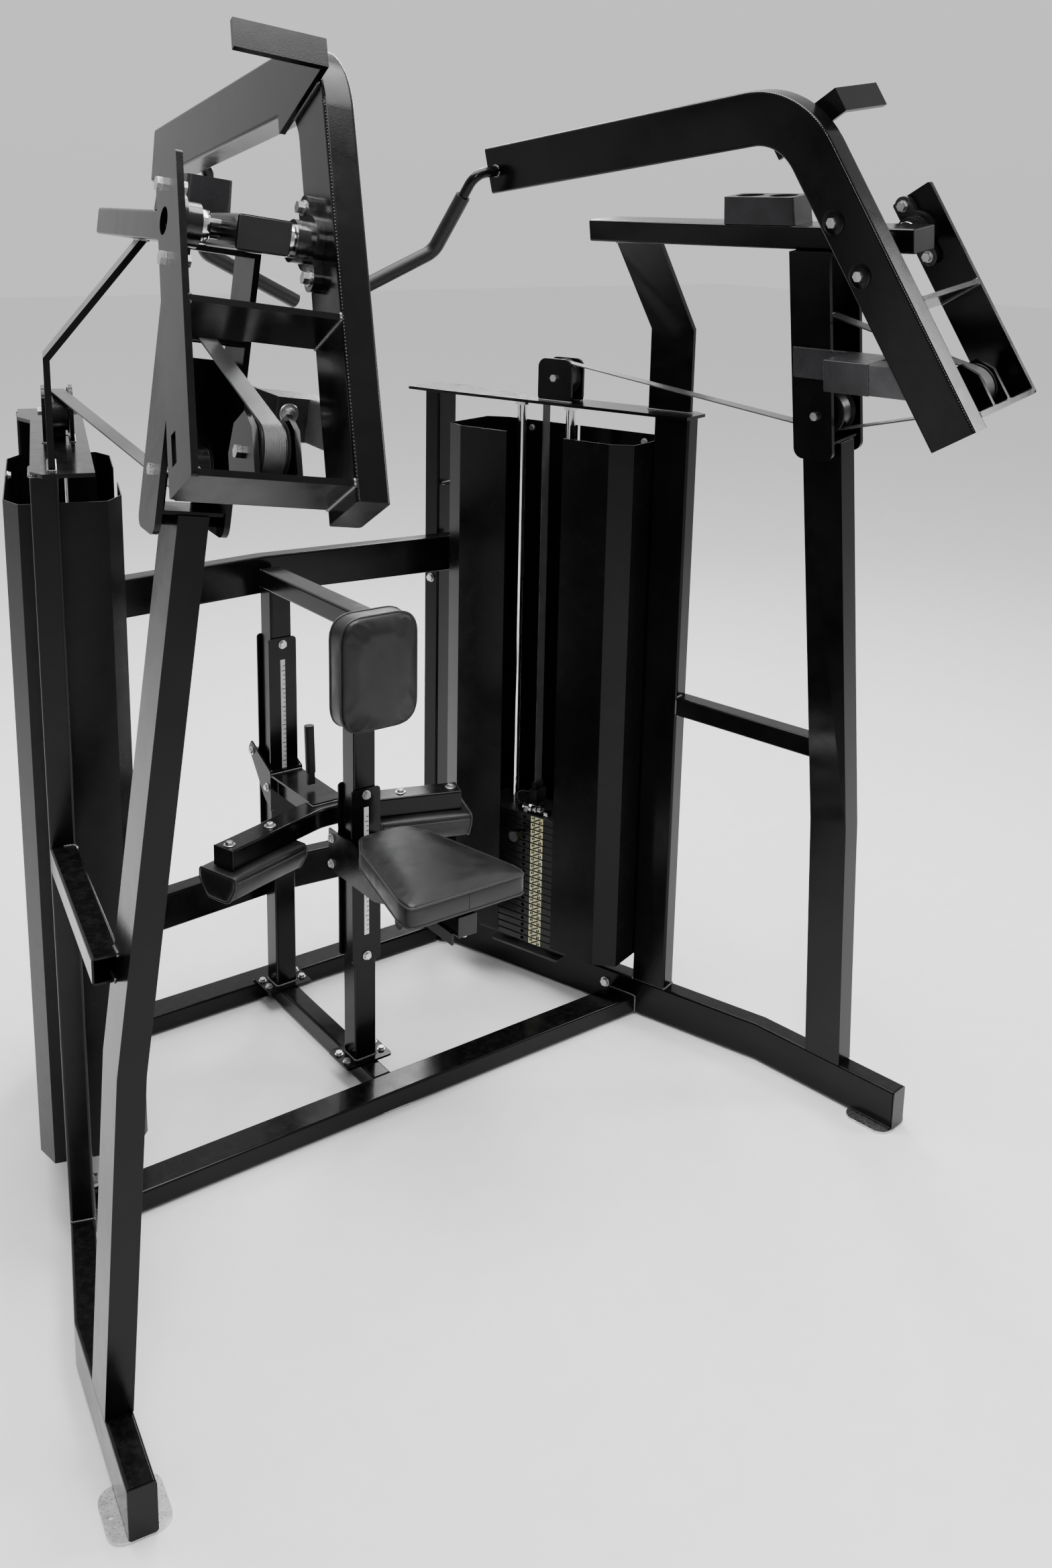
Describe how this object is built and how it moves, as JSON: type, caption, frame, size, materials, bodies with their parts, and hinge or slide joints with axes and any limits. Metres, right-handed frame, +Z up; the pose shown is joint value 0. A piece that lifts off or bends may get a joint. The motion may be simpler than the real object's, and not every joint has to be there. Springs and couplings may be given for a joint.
{
  "type": "twin-stack pulldown machine",
  "caption": "Free-standing pulldown machine: two pivoting levers with handles lift two shrouded weight stacks by belt over pulleys; height-adjustable seat, knee hold-down and chest pad.",
  "frame": {"origin": "middle of the machine's footprint on the floor", "axes": "+X to the seated user's right, +Y the way the user faces, +Z up"},
  "size_m": [2.01, 1.7783, 2.4303],
  "materials": {
    "powder_black": "gloss black powder coat",
    "belt": "flat woven belt with a rubber skin",
    "vinyl": "black upholstery vinyl with piping",
    "zinc_plate": "bright zinc plate",
    "chrome": "chrome",
    "pulley": "black glass-filled nylon",
    "cast_bearing": "painted cast flange bearing",
    "grip_rubber": "black rubber",
    "bumper": "dark grey rubber",
    "gray_block": "satin grey-black paint",
    "tray_plastic": "dark moulded plastic",
    "stack_iron": "painted steel plates",
    "sheet_black": "gloss black folded sheet"
  },
  "bodies": {
    "frame": {"accessory_trays": "tray_plastic", "arm_shafts": "chrome", "arm_stops": "gray_block", "base_left": "powder_black", "base_right": "powder_black", "chest_pad": "vinyl", "chest_pad_arm": "powder_black", "crossbars": "powder_black", "foot_plates": "zinc_plate", "frame_bolts": "chrome", "front_upright_left": "powder_black", "front_upright_right": "powder_black", "guide_rods": "chrome", "rear_beams": "powder_black", "rear_post": "powder_black", "resting_plates_left": "stack_iron", "resting_plates_right": "stack_iron", "scale_plates": "powder_black", "seat_post": "powder_black", "shrouds_left": "sheet_black", "shrouds_right": "sheet_black", "side_braces": "powder_black", "stack_cushions": "bumper", "stack_posts": "powder_black", "stack_top_plates": "powder_black", "stop_bumpers": "bumper", "top_beam_left": "powder_black", "top_beam_right": "powder_black", "transfer_belts": "belt"},
    "arm_right": {"arm_tube_right": "powder_black", "arm_yoke_right": "powder_black", "arm_bearings_right": "cast_bearing", "handle_bar_right": "powder_black", "handle_grip_right": "grip_rubber", "arm_belt_right": "belt"},
    "arm_pulley_right": {"arm_pulley_right": "pulley"},
    "post_pulley_right": {"post_pulley_right": "pulley"},
    "stack_pulley_right": {"stack_pulley_right": "pulley"},
    "lifted_stack_right": {"lifted_stack_right": "stack_iron", "lift_belt_right": "belt"},
    "selector_pin_right": {"selector_pin_right": "chrome"},
    "arm_left": {"arm_tube_left": "powder_black", "arm_yoke_left": "powder_black", "arm_bearings_left": "cast_bearing", "handle_bar_left": "powder_black", "handle_grip_left": "grip_rubber", "arm_belt_left": "belt"},
    "arm_pulley_left": {"arm_pulley_left": "pulley"},
    "post_pulley_left": {"post_pulley_left": "pulley"},
    "stack_pulley_left": {"stack_pulley_left": "pulley"},
    "lifted_stack_left": {"lifted_stack_left": "stack_iron", "lift_belt_left": "belt"},
    "selector_pin_left": {"selector_pin_left": "chrome"},
    "seat": {"seat_carriage": "powder_black", "seat_pad": "vinyl"},
    "seat_lever": {"seat_lever": "grip_rubber"},
    "knee_hold_down": {"knee_carriage": "powder_black", "knee_pads": "vinyl"},
    "knee_lever": {"knee_lever": "grip_rubber"}
  },
  "joints": [
    {"name": "arm_right", "type": "hinge", "parent": "frame", "child": "arm_right", "pos_m": [0.71, -0.5982, 2.125], "axis": [-0.9806, -0.1378, -0.1392], "range_deg": [0, 50], "deforming": ["arm_belt_right"]},
    {"name": "stack_lift_right", "type": "slide", "parent": "frame", "child": "lifted_stack_right", "axis": [0, 0, 1], "range_m": [0, 0.4124], "deforming": ["lift_belt_right"]},
    {"name": "stack_pulley_right", "type": "hinge", "parent": "frame", "child": "stack_pulley_right", "pos_m": [0.66207, 0.40886, 1.74], "axis": [0.9511, 0.309, 0], "range_deg": [0, 540.9]},
    {"name": "post_pulley_right", "type": "hinge", "parent": "frame", "child": "post_pulley_right", "pos_m": [0.74136, -0.44636, 1.75365], "axis": [-0.9806, -0.1378, -0.1392], "range_deg": [0, 540.9]},
    {"name": "arm_pulley_right", "type": "hinge", "parent": "arm_right", "child": "arm_pulley_right", "pos_m": [0.77599, -0.77412, 1.83421], "axis": [0.9806, 0.1378, 0.1392], "range_deg": [0, 200.6]},
    {"name": "selector_pin_right", "type": "slide", "parent": "lifted_stack_right", "child": "selector_pin_right", "axis": [-0.9511, -0.309, 0], "range_m": [0, 0.085]},
    {"name": "arm_left", "type": "hinge", "parent": "frame", "child": "arm_left", "pos_m": [-0.71, -0.5982, 2.125], "axis": [-0.9806, 0.1378, 0.1392], "range_deg": [0, 50], "deforming": ["arm_belt_left"]},
    {"name": "stack_lift_left", "type": "slide", "parent": "frame", "child": "lifted_stack_left", "axis": [0, 0, 1], "range_m": [0, 0.4124], "deforming": ["lift_belt_left"]},
    {"name": "stack_pulley_left", "type": "hinge", "parent": "frame", "child": "stack_pulley_left", "pos_m": [-0.66207, 0.40886, 1.74], "axis": [-0.9511, 0.309, 0], "range_deg": [0, 540.9]},
    {"name": "post_pulley_left", "type": "hinge", "parent": "frame", "child": "post_pulley_left", "pos_m": [-0.74136, -0.44636, 1.75365], "axis": [-0.9806, 0.1378, 0.1392], "range_deg": [0, 540.9]},
    {"name": "arm_pulley_left", "type": "hinge", "parent": "arm_left", "child": "arm_pulley_left", "pos_m": [-0.77599, -0.77412, 1.83421], "axis": [0.9806, -0.1378, -0.1392], "range_deg": [0, 200.6]},
    {"name": "selector_pin_left", "type": "slide", "parent": "lifted_stack_left", "child": "selector_pin_left", "axis": [0.9511, -0.309, 0], "range_m": [0, 0.085]},
    {"name": "seat_height", "type": "slide", "parent": "frame", "child": "seat", "axis": [0, 0, 1], "range_m": [-0.19, 0.1]},
    {"name": "seat_lever", "type": "hinge", "parent": "seat", "child": "seat_lever", "pos_m": [-0.0285, -0.1092, 0.589], "axis": [1, 0, 0], "range_deg": [-12, 0], "stiffness_Nm_per_rad": 2},
    {"name": "knee_hold_down_height", "type": "slide", "parent": "frame", "child": "knee_hold_down", "axis": [0, 0, 1], "range_m": [-0.03, 0.28]},
    {"name": "knee_lever", "type": "hinge", "parent": "knee_hold_down", "child": "knee_lever", "pos_m": [0, 0.5668, 0.704], "axis": [1, 0, 0], "range_deg": [-18, 0], "stiffness_Nm_per_rad": 3}
  ],
  "couplings": [
    {"joint": "stack_lift_right", "follows": "arm_right", "m_per_rad": 0.468},
    {"joint": "stack_pulley_right", "follows": "arm_right", "ratio": 10.759},
    {"joint": "post_pulley_right", "follows": "arm_right", "ratio": 10.759},
    {"joint": "arm_pulley_right", "follows": "arm_right", "ratio": 3.9514},
    {"joint": "stack_lift_left", "follows": "arm_left", "m_per_rad": 0.468},
    {"joint": "stack_pulley_left", "follows": "arm_left", "ratio": 10.759},
    {"joint": "post_pulley_left", "follows": "arm_left", "ratio": 10.759},
    {"joint": "arm_pulley_left", "follows": "arm_left", "ratio": 3.9514}
  ]
}
